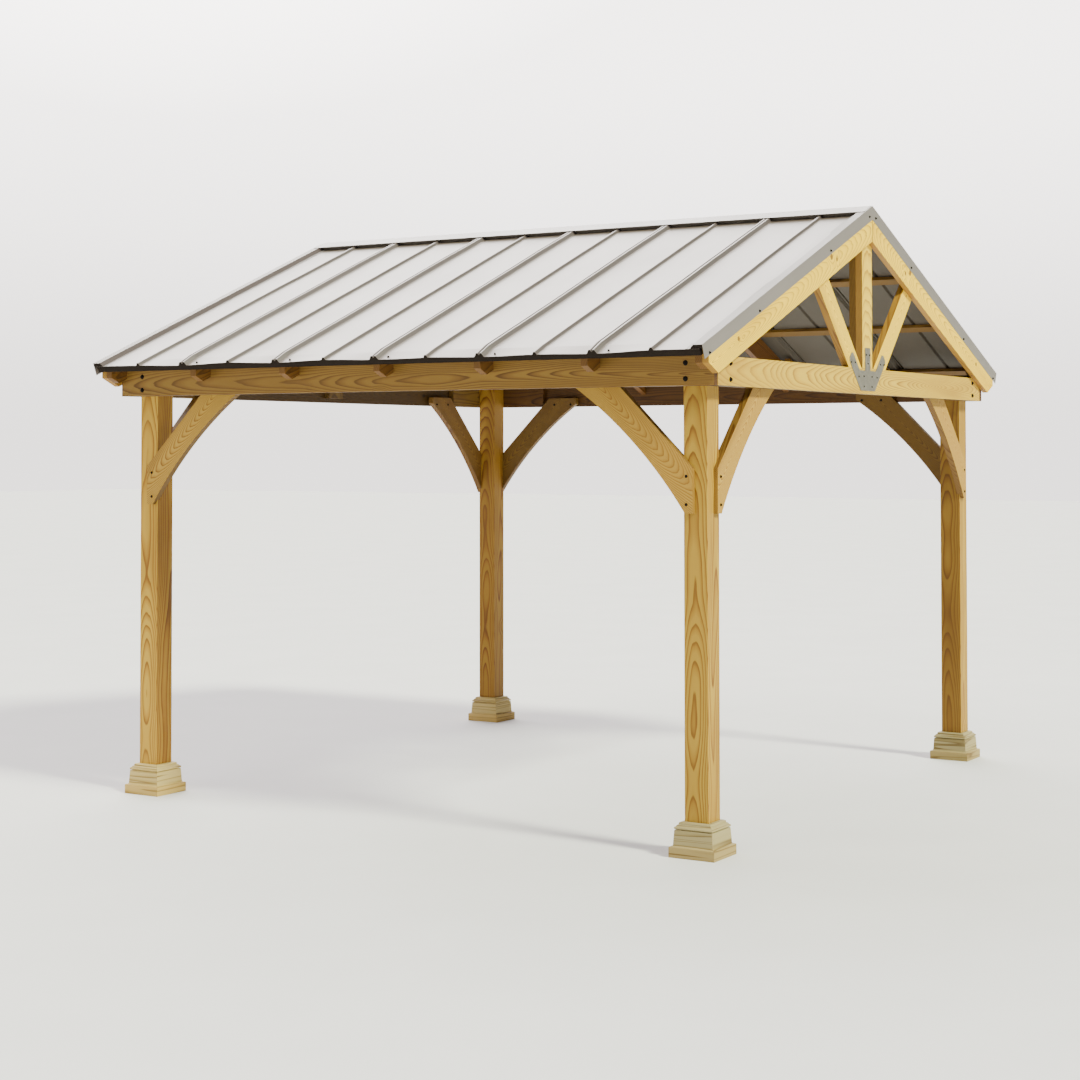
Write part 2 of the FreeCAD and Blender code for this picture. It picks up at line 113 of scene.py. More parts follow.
def pine(name, turn, pith, tones, period=(2 * FAR, 2 * FAR, 2 * FAR), start=(FAR, FAR, FAR), tell=(0, 0, 0),
         fold=False, bleach_unshaded=(0, 0, 0), inner=(0.6, 0.58, 0.5), lighter=(0, 0, 0), wander=(0.1, 0.1, 0.1), ring=0.008,
         knots=0.3, marks=(), butt=0.0, rough=0.58):
    """Planed, treated pine: growth rings about a wandering pith, a few knots, fibre streaks.

    turn, pith: how the board lies, and a point on the axis of its rings.
    period, start: spacing of boards that repeat, and half a step to their first edge.
    tell: weights of the signs of x and y that tell mirrored boards apart.
    fold: mirror the grain at x = 0 and y = 0.
    bleach: the axes whose outer faces are sun-bleached and kept free of the painted shade; inner: the painted shade
    tint, in red, green and blue, that darkens the other faces, partly the deeper colour of the treatment.
    lighter: weights of the signs of x and y in how light a board is.
    wander: how far the pith strays across the board and in its depth, and the share of the depth towards the face.
    ring: 5 to 9 mm from line to line instead of 3 to 6, so that the rings show.
    knots: share of the cells that get one; marks: places and sizes of knots that the real boards show.
    butt: width of the shadow line where two boards meet at y = 0.
    """
    mat, t = blank(name)
    p = add(t, "ShaderNodeTexCoord", out=3)
    side = add(t, "ShaderNodeVectorMath", {0: p}, operation="SIGN")
    q = add(t, "ShaderNodeVectorMath", {0: p}, operation="ABSOLUTE") if fold else p
    q = add(t, "ShaderNodeVectorMath", {0: q, 1: start}, operation="ADD")
    cell = add(t, "ShaderNodeVectorMath", {0: q, 1: period}, operation="SNAP")
    q = add(t, "ShaderNodeVectorMath", {0: q, 1: cell}, operation="SUBTRACT")
    q = add(t, "ShaderNodeVectorMath", {0: q, 1: start}, operation="SUBTRACT")
    number = add(t, "ShaderNodeVectorMath", {0: side, 1: tell, 2: cell}, operation="MULTIPLY_ADD")
    number = add(t, "ShaderNodeVectorMath", {0: number, 1: (1.31, 2.17, 0.0)}, 1, operation="DOT_PRODUCT")
    grain = add(t, "ShaderNodeMapping", {"Vector": q, "Location": pith, "Rotation": turn}, vector_type="TEXTURE")

    # The pith wanders along the board, which makes the arches in the grain
    slow = add(t, "ShaderNodeVectorMath", {0: grain, 1: (0.9, 0.0, 0.0)}, operation="MULTIPLY")
    drift = add(t, "ShaderNodeTexNoise", {"Vector": slow, "W": number, "Scale": 1.0, "Detail": 2.0}, 1,
                noise_dimensions="4D")
    sway, sink, back = wander
    drift = add(t, "ShaderNodeVectorMath", {0: drift, 1: (0.0, sway, sink), 2: (0.0, -0.5 * sway, -back * sink)},
                operation="MULTIPLY_ADD")
    radial = add(t, "ShaderNodeVectorMath", {0: grain, 1: drift}, operation="ADD")
    radial = add(t, "ShaderNodeVectorMath", {0: radial, 1: (0.0, 1.0, 1.0)}, operation="MULTIPLY")
    radius = add(t, "ShaderNodeVectorMath", {0: radial}, 1, operation="LENGTH")

    # Knots of up to 13 mm, one chance to a cell of 0.5 x 0.15 x 0.15 m
    place = add(t, "ShaderNodeVectorMath", {0: grain, 1: (1.9, 6.5, 6.5), 2: number}, operation="MULTIPLY_ADD")
    chance, centre = add(t, "ShaderNodeTexVoronoi", {"Vector": place, "Scale": 1.0}, slice(1, 3))
    luck = add(t, "ShaderNodeSeparateColor", {0: chance})
    away = add(t, "ShaderNodeVectorMath", {0: place, 1: centre}, operation="SUBTRACT")
    away = add(t, "ShaderNodeVectorMath", {0: away, 1: (0.32, 0.154, 0.154)}, operation="MULTIPLY")
    away = add(t, "ShaderNodeVectorMath", {0: away}, 1, operation="LENGTH")
    size = add(t, "ShaderNodeMapRange", {"Value": luck, "From Min": 1.0 - knots, "To Min": 0.0001, "To Max": 0.013})
    near = add(t, "ShaderNodeMath", {0: away, 1: size}, operation="DIVIDE")
    for spot, reach in marks:
        away = add(t, "ShaderNodeVectorMath", {0: q, 1: spot}, 1, operation="DISTANCE")
        away = add(t, "ShaderNodeMath", {0: away, 1: reach}, operation="DIVIDE")
        near = add(t, "ShaderNodeMath", {0: near, 1: away}, operation="MINIMUM")
    knot = add(t, "ShaderNodeMapRange", {"Value": near, "From Min": 1.15, "From Max": 0.8},
               interpolation_type="SMOOTHSTEP")
    swirl = add(t, "ShaderNodeMapRange", {"Value": near, "From Min": 5.0, "From Max": 0.5, "To Max": 0.012},
                interpolation_type="SMOOTHERSTEP")

    # Rings: pale early wood, a darker late wood line
    fine = add(t, "ShaderNodeVectorMath", {0: grain, 1: (1.6, 16.0, 16.0)}, operation="MULTIPLY")
    fine = add(t, "ShaderNodeTexNoise", {"Vector": fine, "W": number, "Scale": 1.0, "Detail": 3.0}, 0,
               noise_dimensions="4D")
    radius = add(t, "ShaderNodeMath", {0: fine, 1: 0.011, 2: radius}, operation="MULTIPLY_ADD")
    radius = add(t, "ShaderNodeMath", {0: radius, 1: swirl}, operation="ADD")
    rings = add(t, "ShaderNodeMath", {0: radius, 1: ring}, operation="DIVIDE")
    rings = add(t, "ShaderNodeMath", {0: rings}, operation="FRACT")
    light, middle, dark, heart = (srgb(tone) for tone in tones)
    colour = set_stops(add(t, "ShaderNodeValToRGB", {0: rings}),
                       [(0.0, light), (0.35, light), (0.7, middle), (0.88, dark), (0.93, dark), (1.0, light)])

    # Patches where the rings fade, streaks of darker sap, fibres 3 mm wide
    patch = add(t, "ShaderNodeVectorMath", {0: grain, 1: (0.8, 9.0, 9.0)}, operation="MULTIPLY")
    patch = add(t, "ShaderNodeTexNoise", {"Vector": patch, "W": number, "Scale": 1.0, "Detail": 2.0}, 1,
                noise_dimensions="4D")
    fade, sap = add(t, "ShaderNodeSeparateColor", {0: patch}, slice(0, 2))
    fade = add(t, "ShaderNodeMapRange", {"Value": fade, "From Min": 0.35, "From Max": 0.65, "To Max": 0.5})
    sap = add(t, "ShaderNodeMapRange", {"Value": sap, "From Min": 0.52, "From Max": 0.72, "To Max": 0.45})
    colour = add(t, "ShaderNodeMix", {0: fade, 6: colour, 7: middle}, 2, data_type="RGBA")
    colour = add(t, "ShaderNodeMix", {0: sap, 6: colour, 7: dark}, 2, data_type="RGBA")
    knot_tone = add(t, "ShaderNodeMath", {0: knot, 1: 0.85}, operation="MULTIPLY")
    colour = add(t, "ShaderNodeMix", {0: knot_tone, 6: colour, 7: heart}, 2, data_type="RGBA")
    fibre = add(t, "ShaderNodeVectorMath", {0: grain, 1: (7.0, 300.0, 300.0)}, operation="MULTIPLY")
    fibre = add(t, "ShaderNodeTexNoise", {"Vector": fibre, "W": number, "Scale": 1.0, "Detail": 2.0}, 0,
                noise_dimensions="4D")
    shade = add(t, "ShaderNodeTexWhiteNoise", {"W": number}, noise_dimensions="1D")
    shade = add(t, "ShaderNodeMath", {0: shade, 1: 0.1, 2: 0.9}, operation="MULTIPLY_ADD")
    shade = add(t, "ShaderNodeMath", {0: fibre, 1: 0.12, 2: shade}, operation="MULTIPLY_ADD")
    more = add(t, "ShaderNodeVectorMath", {0: side, 1: lighter}, 1, operation="DOT_PRODUCT")
    shade = add(t, "ShaderNodeMath", {0: shade, 1: more}, operation="ADD")
    colour = add(t, "ShaderNodeHueSaturation", {"Value": shade, "Color": colour})

    # Outer faces are sun-bleached; the others are multiplied by the inner tint, partly the deeper colour of the
    # treatment and partly painted shade
    outward = add(t, "ShaderNodeVectorMath", {0: side, 1: bleach_unshaded}, operation="MULTIPLY")
    outward = add(t, "ShaderNodeVectorMath", {0: add(t, "ShaderNodeNewGeometry", out=3), 1: outward},
                  operation="MULTIPLY")
    outward = add(t, "ShaderNodeSeparateXYZ", {0: outward}, slice(0, 2))
    outward = add(t, "ShaderNodeMath", {0: outward[0], 1: outward[1]}, operation="MAXIMUM")
    # Painted shade: faces that don't face outwards get the inner tint
    painted_shade = add(t, "ShaderNodeMapRange", {"Value": outward, "From Min": 0.7, "From Max": 0.3})
    colour = add(t, "ShaderNodeMix", {0: painted_shade, 6: colour, 7: (*inner, 1.0)}, 2, data_type="RGBA",
                 blend_type="MULTIPLY")
    if butt:
        y = add(t, "ShaderNodeSeparateXYZ", {0: p}, 1)
        y = add(t, "ShaderNodeMath", {0: y}, operation="ABSOLUTE")
        seam = add(t, "ShaderNodeMapRange",
                   {"Value": y, "From Min": butt * 0.7, "From Max": butt * 0.3, "To Max": 0.8})
        colour = add(t, "ShaderNodeMix", {0: seam, 6: colour, 7: heart}, 2, data_type="RGBA")
    dull = add(t, "ShaderNodeMath", {0: fibre, 1: 0.14, 2: rough - 0.07}, operation="MULTIPLY_ADD")
    height = add(t, "ShaderNodeMath", {0: rings, 1: 0.5, 2: fibre}, operation="MULTIPLY_ADD")
    surface(t, colour, dull, height, 0.0006, Specular_IOR_Level=0.3)
    return mat


X, Y, Z = (1, 0, 0), (0, 1, 0), (0, 0, 1)
half = math.sqrt(0.5)
down, square = (0, math.cos(PITCH), -math.sin(PITCH)), (0, math.sin(PITCH), math.cos(PITCH))
up, over = (0, math.cos(LEAN), math.sin(LEAN)), (0, math.sin(LEAN), -math.cos(LEAN))

# Light, middle and dark of the rings, and the knots. The two lightest tones are copies with painted light, for the
# gable rafters, struts and king posts in the most direct sun; the tawny and deep tones are copies with painted shade,
# for the pieces under the eaves and the roof
# Painted light: brighter copies of the pale tone
FRESH_LIT = ("F2CA2C", "E2B724", "A87818", "6A401A")
HONEY_LIT = ("E8C236", "D6AE2C", "AC7E20", "6A401A")
PALE = ("D0AC36", "C0982B", "936A1E", "573A1A")
GOLD = ("B6923A", "A17829", "744A10", "462C10")
POLE = ("BA9632", "A47A22", "784C0E", "462C10")
# Painted shade: darker copies for tails, inner rafters, eave beams, packers, backers and the ridge board
TAWNY_SHADED = ("946A2E", "835A25", "5E3E17", "3E2810")
DEEP_SHADED = ("8C6C2E", "785723", "563912", "342010")
WARM = ("967230", "805E24", "62441A", "322010")
RAFTER_KNOTS = (((1.809, 0.544, 2.807), 0.016), ((1.809, 0.475, 2.80), 0.011), ((1.809, 1.62, 2.345), 0.012))

# Each inner tint below is painted shade on the faces turned away from the outside, darkest on the tie beams
mats = {
    "post": pine("Treated pine post, planed", lie(Z, X, 0.04), (1.635, 1.655, 0), POLE,
                 period=(2 * HALF_X, 2 * HALF_Y, 2 * FAR), start=(0, 0, FAR), tell=(1, 2, 0), bleach_unshaded=(1, 1, 0),
                 inner=(0.61, 0.53, 0.55), lighter=(-0.11, -0.03, 0), wander=(0.06, 0.2, 0.45), ring=0.009),
    "side_beam": pine("Treated pine eave beam, planed", lie(X, Z, 0.03), (0, 1.81, 2.19), DEEP_SHADED,
                      period=(2 * FAR, 3.58, 2 * FAR), start=(FAR, 0, FAR), tell=(0, 1, 0), bleach_unshaded=(0, 1, 0),
                      inner=(0.33, 0.235, 0.08), wander=(0.08, 0.07, 0.1), ring=0.0065),
    "tie_beam": pine("Treated pine tie beam, planed", lie(Y, Z, 0.08), (1.735, 0, 2.2), PALE,
                     period=(3.52, 2 * FAR, 2 * FAR), start=(0, FAR, FAR), tell=(1, 0, 0), bleach_unshaded=(1, 0, 0),
                     inner=(0.09, 0.065, 0.03), wander=(0.03, 0.1, 0.1), ring=0.006),
    "brace_x": pine("Treated pine brace, band sawn, eave side", lie((-half, 0, half), (half, 0, half), 0.12),
                    (1.38, 1.72, 1.925), GOLD, fold=True, tell=(1, 2, 0), bleach_unshaded=(0.5, 1, 0),
                    inner=(0.34, 0.31, 0.28), wander=(0.03, 0.05, 0.1), ring=0.005),
    "brace_y": pine("Treated pine brace, band sawn, gable side", lie((0, -half, half), (0, half, half), 0.12),
                    (1.69, 1.409, 1.925), GOLD, fold=True, tell=(1, 2, 0), bleach_unshaded=(1, 0.5, 0),
                    inner=(0.4, 0.35, 0.4), wander=(0.03, 0.05, 0.1), ring=0.005),
    "rafter": pine("Treated pine gable rafter, planed", lie(down, square, 0.09), (1.77, 1.0, 2.594), FRESH_LIT,
                   fold=True, tell=(1, 2, 0), bleach_unshaded=(1, 0, 0), inner=(0.42, 0.34, 1.1), wander=(0.03, 0.1, 0.1),
                   ring=0.006, knots=0.15, marks=RAFTER_KNOTS, butt=0.008),
    "tail": pine("Treated pine rafter tail, planed", lie(down, square), (-0.03, 1.8, 2.27), TAWNY_SHADED,
                 period=(TAIL_STEP, 2 * FAR, 2 * FAR), start=(TAIL_STEP / 2, FAR, FAR), fold=True, tell=(1, 2, 0)),
    "inner": pine("Treated pine inner rafter, planed", lie(down, square), (0.55, 1.8, 2.27), TAWNY_SHADED,
                  fold=True, tell=(1, 2, 0), inner=(0.5, 0.43, 0.33)),
    "packer": pine("Treated pine packer, planed", lie(Y, Z), (1.72, 0, 2.2), DEEP_SHADED,
                   period=(3.46, 2 * FAR, 2 * FAR), start=(0, FAR, FAR), tell=(1, 2, 0)),
    "backer": pine("Treated pine backing board, planed", lie(Z, Y, 0.08), (1.72, 0, 0), DEEP_SHADED,
                   period=(3.46, 2 * FAR, 2 * FAR), start=(0, FAR, FAR), tell=(1, 2, 0), lighter=(0.25, 0, 0)),
    "king": pine("Treated pine king post, planed", lie(Z, Y, 0.12), (1.735, 0, 0), HONEY_LIT,
                 period=(3.46, 2 * FAR, 2 * FAR), start=(0, FAR, FAR), tell=(1, 0, 0), bleach_unshaded=(1, 0, 0),
                 inner=(0.5, 0.42, 1.3)),
    "strut": pine("Treated pine strut, planed", lie(up, over, 0.12), (1.735, 0.4, 2.502), FRESH_LIT,
                  fold=True, tell=(1, 2, 0), bleach_unshaded=(1, 0, 0), inner=(0.42, 0.34, 1.1), wander=(0.03, 0.08, 0.1),
                  ring=0.006),
    "ridge": pine("Treated pine ridge board, planed", lie(X, Z), (0, 0.05, 2.95), DEEP_SHADED),
    "batten": pine("Treated pine batten, rough sawn", lie(X, down), (0, 1.0, 2.7), WARM, fold=True, tell=(0, 1, 0),
                   rough=0.72),
}


def skirt_wood():
    """Treated pine boards, moulded and mitred round a post: level grain on each face, a fine mitre line."""
    mat, t = blank("Treated pine skirt, moulded and mitred")
    p = add(t, "ShaderNodeTexCoord", out=3)
    side = add(t, "ShaderNodeVectorMath", {0: p}, operation="SIGN")
    q = add(t, "ShaderNodeVectorMath", {0: p}, operation="ABSOLUTE")
    q = add(t, "ShaderNodeVectorMath", {0: q, 1: (HALF_X, HALF_Y, 0.0)}, operation="SUBTRACT")
    turned = add(t, "ShaderNodeMapping", {"Vector": q, "Rotation": (0.0, 0.0, math.pi / 2)}, vector_type="TEXTURE")
    x, y, z = add(t, "ShaderNodeSeparateXYZ", {0: q}, slice(0, 3))
    nx, ny = add(t, "ShaderNodeSeparateXYZ", {0: add(t, "ShaderNodeNewGeometry", out=3)}, slice(0, 2))
    nx, ny = (add(t, "ShaderNodeMath", {0: n}, operation="ABSOLUTE") for n in (nx, ny))
    facing = add(t, "ShaderNodeMath", {0: nx, 1: ny}, operation="GREATER_THAN")
    number = add(t, "ShaderNodeVectorMath", {0: side, 1: (1.3, 2.9, 0.0)}, 1, operation="DOT_PRODUCT")
    number = add(t, "ShaderNodeMath", {0: facing, 1: 4.7, 2: number}, operation="MULTIPLY_ADD")
    grain = add(t, "ShaderNodeMix", {0: facing, 4: q, 5: turned}, 1, data_type="VECTOR")
    field = add(t, "ShaderNodeVectorMath", {0: grain, 1: (0.8, 20.0, 20.0)}, operation="MULTIPLY")
    field = add(t, "ShaderNodeTexNoise", {"Vector": field, "W": number, "Scale": 1.0, "Detail": 1.5}, 0,
                noise_dimensions="4D")
    rings = add(t, "ShaderNodeMath", {0: field, 1: 7.0}, operation="MULTIPLY")
    rings = add(t, "ShaderNodeMath", {0: rings}, operation="FRACT")
    fibre = add(t, "ShaderNodeVectorMath", {0: grain, 1: (7.0, 300.0, 300.0)}, operation="MULTIPLY")
    fibre = add(t, "ShaderNodeTexNoise", {"Vector": fibre, "W": number, "Scale": 1.0, "Detail": 2.0}, 0,
                noise_dimensions="4D")
    light, middle, dark = srgb("AE9F72"), srgb("9E8D5C"), srgb("77623A")
    colour = set_stops(add(t, "ShaderNodeValToRGB", {0: rings}),
                       [(0.0, light), (0.5, light), (0.78, middle), (0.92, dark), (1.0, light)])
    x, y = (add(t, "ShaderNodeMath", {0: c}, operation="ABSOLUTE") for c in (x, y))
    mitre = add(t, "ShaderNodeMath", {0: x, 1: y}, operation="SUBTRACT")
    mitre = add(t, "ShaderNodeMath", {0: mitre}, operation="ABSOLUTE")
    mitre = add(t, "ShaderNodeMapRange", {"Value": mitre, "From Min": 0.0016, "From Max": 0.0004})
    crack = add(t, "ShaderNodeMath", {0: mitre, 1: 0.55}, operation="MULTIPLY")
    colour = add(t, "ShaderNodeMix", {0: crack, 6: colour, 7: srgb("6A5232")}, 2, data_type="RGBA")

    # Splashed soil and damp near the ground
    damp = add(t, "ShaderNodeTexNoise", {"Vector": p, "Scale": 18.0, "Detail": 2.0})
    damp = add(t, "ShaderNodeMath", {0: damp, 1: 0.03, 2: z}, operation="MULTIPLY_ADD")
    damp = add(t, "ShaderNodeMapRange", {"Value": damp, "From Min": 0.03, "From Max": 0.008, "To Max": 0.3})
    colour = add(t, "ShaderNodeMix", {0: damp, 6: colour, 7: srgb("94805C")}, 2, data_type="RGBA")

    # The base block is a board of its own, of a deeper colour
    low = add(t, "ShaderNodeMapRange", {"Value": z, "From Min": 0.056, "From Max": 0.046})
    colour = add(t, "ShaderNodeMix", {0: low, 6: colour, 7: (1.0, 0.9, 0.72, 1.0)}, 2, data_type="RGBA",
                 blend_type="MULTIPLY")

    # Painted light and shade: the skirts at the left are warmer and lighter as if more lit, those at the right duller
    # and darker as if in shade
    hand = add(t, "ShaderNodeSeparateXYZ", {0: side})
    painted_light_left = add(t, "ShaderNodeMapRange", {"Value": hand, "From Min": 1.0, "From Max": -1.0})
    colour = add(t, "ShaderNodeMix", {0: painted_light_left, 6: colour, 7: (1.1, 1.03, 0.8, 1.0)}, 2, data_type="RGBA",
                 blend_type="MULTIPLY")
    # Painted shade: darker at the right, lighter at the left
    shade = add(t, "ShaderNodeMath", {0: hand, 1: -0.17, 2: 0.96}, operation="MULTIPLY_ADD")
    shade = add(t, "ShaderNodeMath", {0: fibre, 1: 0.12, 2: shade}, operation="MULTIPLY_ADD")
    colour = add(t, "ShaderNodeHueSaturation", {"Value": shade, "Color": colour})
    rough = add(t, "ShaderNodeMath", {0: fibre, 1: 0.1, 2: 0.55}, operation="MULTIPLY_ADD")
    height = add(t, "ShaderNodeMath", {0: mitre, 1: -1.5, 2: fibre}, operation="MULTIPLY_ADD")
    surface(t, colour, rough, height, 0.0008, Specular_IOR_Level=0.3)
    return mat


# ---------------------------------------------------------------- metal and foam
def coated_steel(name, top, flank_shade, under, stain, coat):
    """Painted steel sheet: a taupe film with rain streaks down the slope, glossy above and matt below.

    The steep flanks of ribs and folds get a darker colour of their own: painted shade.
    """
    mat, t = blank(name)
    p = add(t, "ShaderNodeTexCoord", out=3)
    nz = add(t, "ShaderNodeSeparateXYZ", {0: add(t, "ShaderNodeNewGeometry", out=3)}, 2)
    cloud = add(t, "ShaderNodeTexNoise", {"Vector": p, "Scale": 2.2, "Detail": 3.0})
    streak = add(t, "ShaderNodeMapping", {"Vector": p, "Scale": (26.0, 0.8, 0.8)})
    streak = add(t, "ShaderNodeTexNoise", {"Vector": streak, "Scale": 1.0, "Detail": 3.0})
    streak = add(t, "ShaderNodeMapRange", {"Value": streak, "From Min": 0.45, "From Max": 0.75, "To Max": 0.4})
    colour = add(t, "ShaderNodeMix", {0: streak, 6: srgb(top), 7: srgb(stain)}, 2, data_type="RGBA")
    # Painted shade on the steep flanks of ribs and folds
    shaded_flank = add(t, "ShaderNodeMapRange", {"Value": nz, "From Min": 0.85, "From Max": 0.7})
    sloped = add(t, "ShaderNodeMapRange", {"Value": nz, "From Min": 0.1, "From Max": 0.3})
    shaded_flank = add(t, "ShaderNodeMath", {0: shaded_flank, 1: sloped}, operation="MULTIPLY")
    colour = add(t, "ShaderNodeMix", {0: shaded_flank, 6: colour, 7: srgb(flank_shade)}, 2, data_type="RGBA")
    below = add(t, "ShaderNodeMapRange", {"Value": nz, "From Max": -0.1})
    colour = add(t, "ShaderNodeMix", {0: below, 6: colour, 7: srgb(under)}, 2, data_type="RGBA")
    rough = add(t, "ShaderNodeMath", {0: cloud, 1: 0.16, 2: 0.34}, operation="MULTIPLY_ADD")
    rough = add(t, "ShaderNodeMath", {0: below, 1: 0.3, 2: rough}, operation="MULTIPLY_ADD")
    gloss = add(t, "ShaderNodeMapRange", {"Value": below, "To Min": coat, "To Max": 0.0})
    surface(t, colour, rough, cloud, 0.002, Coat_Weight=gloss, Coat_Roughness=0.42, Coat_IOR=1.65)
    return mat


def galvanised():
    """Hot-dip galvanised steel: zinc crystals 8 mm across, dulled by weather."""
    mat, t = blank("Galvanised steel plate, punched")
    p = add(t, "ShaderNodeTexCoord", out=3)
    spangle = add(t, "ShaderNodeTexVoronoi", {"Vector": p, "Scale": 130.0}, 1)
    spangle = add(t, "ShaderNodeSeparateColor", {0: spangle})
    cloud = add(t, "ShaderNodeTexNoise", {"Vector": p, "Scale": 30.0, "Detail": 3.0})
    colour = add(t, "ShaderNodeMix", {0: spangle, 6: srgb("827F77"), 7: srgb("9B968A")}, 2, data_type="RGBA")
    dusty = add(t, "ShaderNodeMapRange", {"Value": cloud, "From Min": 0.4, "From Max": 0.7, "To Max": 0.4})
    colour = add(t, "ShaderNodeMix", {0: dusty, 6: colour, 7: srgb("736E64")}, 2, data_type="RGBA")
    rough = add(t, "ShaderNodeMath", {0: spangle, 1: 0.18, 2: 0.4}, operation="MULTIPLY_ADD")
    surface(t, colour, rough, cloud, 0.0003, Metallic=0.7)
    return mat


def mottled(name, a, b, rough, scale, **sockets):
    """Two close tones in a mottle of so many spots a metre, for fittings, foam and the floor."""
    mat, t = blank(name)
    p = add(t, "ShaderNodeTexCoord", out=3)
    mottle = add(t, "ShaderNodeTexNoise", {"Vector": p, "Scale": scale, "Detail": 3.0})
    spread = add(t, "ShaderNodeMapRange", {"Value": mottle, "From Min": 0.3, "From Max": 0.7})
    colour = add(t, "ShaderNodeMix", {0: spread, 6: srgb(a), 7: srgb(b)}, 2, data_type="RGBA")
    dull = add(t, "ShaderNodeMath", {0: mottle, 1: 0.15, 2: rough - 0.07}, operation="MULTIPLY_ADD")
    surface(t, colour, dull, mottle, 0.0003, **sockets)
    return mat


mats["skirt"] = skirt_wood()
# The second colour of each sheet is the painted shade on its flanks
mats["roof"] = coated_steel("Painted roof sheet, roll formed", "6B5F55", "483D3D", "423A2E", "5F5449", 1.0)
mats["trim"] = coated_steel("Painted flashing, folded", "77716E", "483D3D", "544C41", "6C6663", 0.2)
mats["cap"] = coated_steel("Painted ridge cap, folded", "77716E", "483D3D", "544C41", "6C6663", 0.8)
mats["zinc"] = galvanised()
mats["foam"] = mottled("Closed-cell foam strip, cut", "1C1713", "2A231E", 0.9, 240.0, Specular_IOR_Level=0.1)
mats["vent"] = mottled("Ridge vent foam, cut", "5E564E", "6E665D", 0.9, 300.0, Specular_IOR_Level=0.1)
mats["screw"] = mottled("Steel screw, black coated", "0F0C0A", "18130F", 0.8, 400.0, Specular_IOR_Level=0.12)

# The finish of each CAD node, by the start of its name
LOOKS = {"post_": "post", "skirt_": "skirt", "side_beam": "side_beam", "packers_eave": "side_beam",
         "tie_beam": "tie_beam", "packers_gable": "packer", "braces_front": "brace_x", "braces_back": "brace_x",
         "braces_": "brace_y", "gable_rafter": "rafter", "mid_rafters": "inner", "rafter_tails": "tail",
         "king_backers": "backer", "king_": "king", "struts": "strut", "ridge_board": "ridge",
         "battens": "batten", "gusset": "zinc", "roof_sheet": "roof", "ridge_cap": "cap",
         "gable_flashing": "trim", "eave_closer": "foam"}
for name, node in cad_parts.items():
    look = next(mat for start, mat in LOOKS.items() if name.startswith(start))
    node.data.materials.clear()
    node.data.materials.append(mats[look])


# ---------------------------------------------------------------- pieces
def link(name, data):
    """New object, linked to the scene."""
    obj = bpy.data.objects.new(name, data)
    bpy.context.scene.collection.objects.link(obj)
    return obj


def closed(name, bm, finish):
    """Mesh from a closed bmesh, its faces turned outwards."""
    bmesh.ops.recalc_face_normals(bm, faces=bm.faces)
    mesh = bpy.data.meshes.new(name)
    bm.to_mesh(mesh)
    bm.free()
    mesh.materials.append(finish)
    return mesh


# ---------------------------------------------------------------- post skirts
POST, EASE = 120.0, 1.0                     # mm: post, and the cut at the skirts' corners
# Half width and height in mm: base block, cove, flared body, groove, bead, ogee up to the post
SKIRT = [(115, 0), (115, 43.5), (114.3, 46.5), (112, 48.3), (106, 49.2), (102.5, 51), (100.4, 54), (99.6, 57.5),
         (98.8, 72), (97.4, 92), (95.8, 116), (95.4, 121.2), (94.8, 122.4), (87.5, 122.8), (87.5, 126), (94.2, 126.4),
         (96.4, 128.4), (97, 131), (96.2, 134.2), (93.6, 136.8), (90.8, 137.6), (89.6, 138.6), (88.6, 141.5),
         (85.8, 144.6), (82.2, 146.2), (80.6, 146.6), (80.4, 151), (79.4, 154.4), (76.8, 156.4), (70, 158.5)]


def skirt(name, x, y, replaced):
    """Moulding round a post foot, its four mitred corners eased by 1 mm."""
    bm = bmesh.new()
    loops = []
    for w, z in SKIRT + [(POST / 2 + 0.2, SKIRT[-1][1]), (POST / 2 + 0.2, 0)]:
        e = w - EASE
        outline = [(w, -e), (w, e), (e, w), (-e, w), (-w, e), (-w, -e), (-e, -w), (e, -w)]
        loops.append([bm.verts.new((x + a / 1000, y + b / 1000, z / 1000)) for a, b in outline])
    for low, high in zip(loops, loops[1:] + loops[:1]):
        for i in range(8):
            bm.faces.new((low[i], low[(i + 1) % 8], high[(i + 1) % 8], high[i]))
    mesh = closed(name, bm, mats["skirt"])
    mesh.shade_smooth()
    mesh.set_sharp_from_angle(angle=math.radians(32))
    obj = link(name, mesh)
    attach(obj, "root")
    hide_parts(replaced)


for replaced in [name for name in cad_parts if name.startswith("skirt_")]:
    low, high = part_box(replaced)
    skirt("moulded_" + replaced, (low[0] + high[0]) / 2, (low[1] + high[1]) / 2, replaced)

# ---------------------------------------------------------------- roof sheets
SHEET_T, PAN, RIB = 0.0012, 0.0192, 0.0382          # sheet, and its top over the rafter line on pans and ribs
SHEET_HALF, SHEET_TOP, SHEET_END = 1.7915, 0.014, 2.1370    # half the width; ends down the slope from the ridge
RAFTER_APEX = 3.0772                        # height at which the rafter lines meet
BAY = 0.305                                 # from rib to rib
RIBS = [(-1.499 + BAY * i, i % 2) for i in range(11)]       # place, and 1 for the wide ribs
FREE = 2.05                                 # the sheets' free eave edge starts here, past the last batten
EAVE_SAG = (1.5, 8.3, 0.8, 9.0, 1.1, 8.0, 4.5, 11.0, 5.6, 10.2, 1.1)    # mm that the edge hangs lower at each rib
# The eave foam reaches this low so that it also fills the shadow under the sheet edge: partly real foam, partly
# painted shade
STRIP_UNDER = -0.0135                       # underside of the foam at the eave, from the rafter line
PLUG = (1.7644, 1.7905, 1.8088)             # places across a foam plug in the end of a flashing
GAP = 0.0002                                # between faces that would share a plane
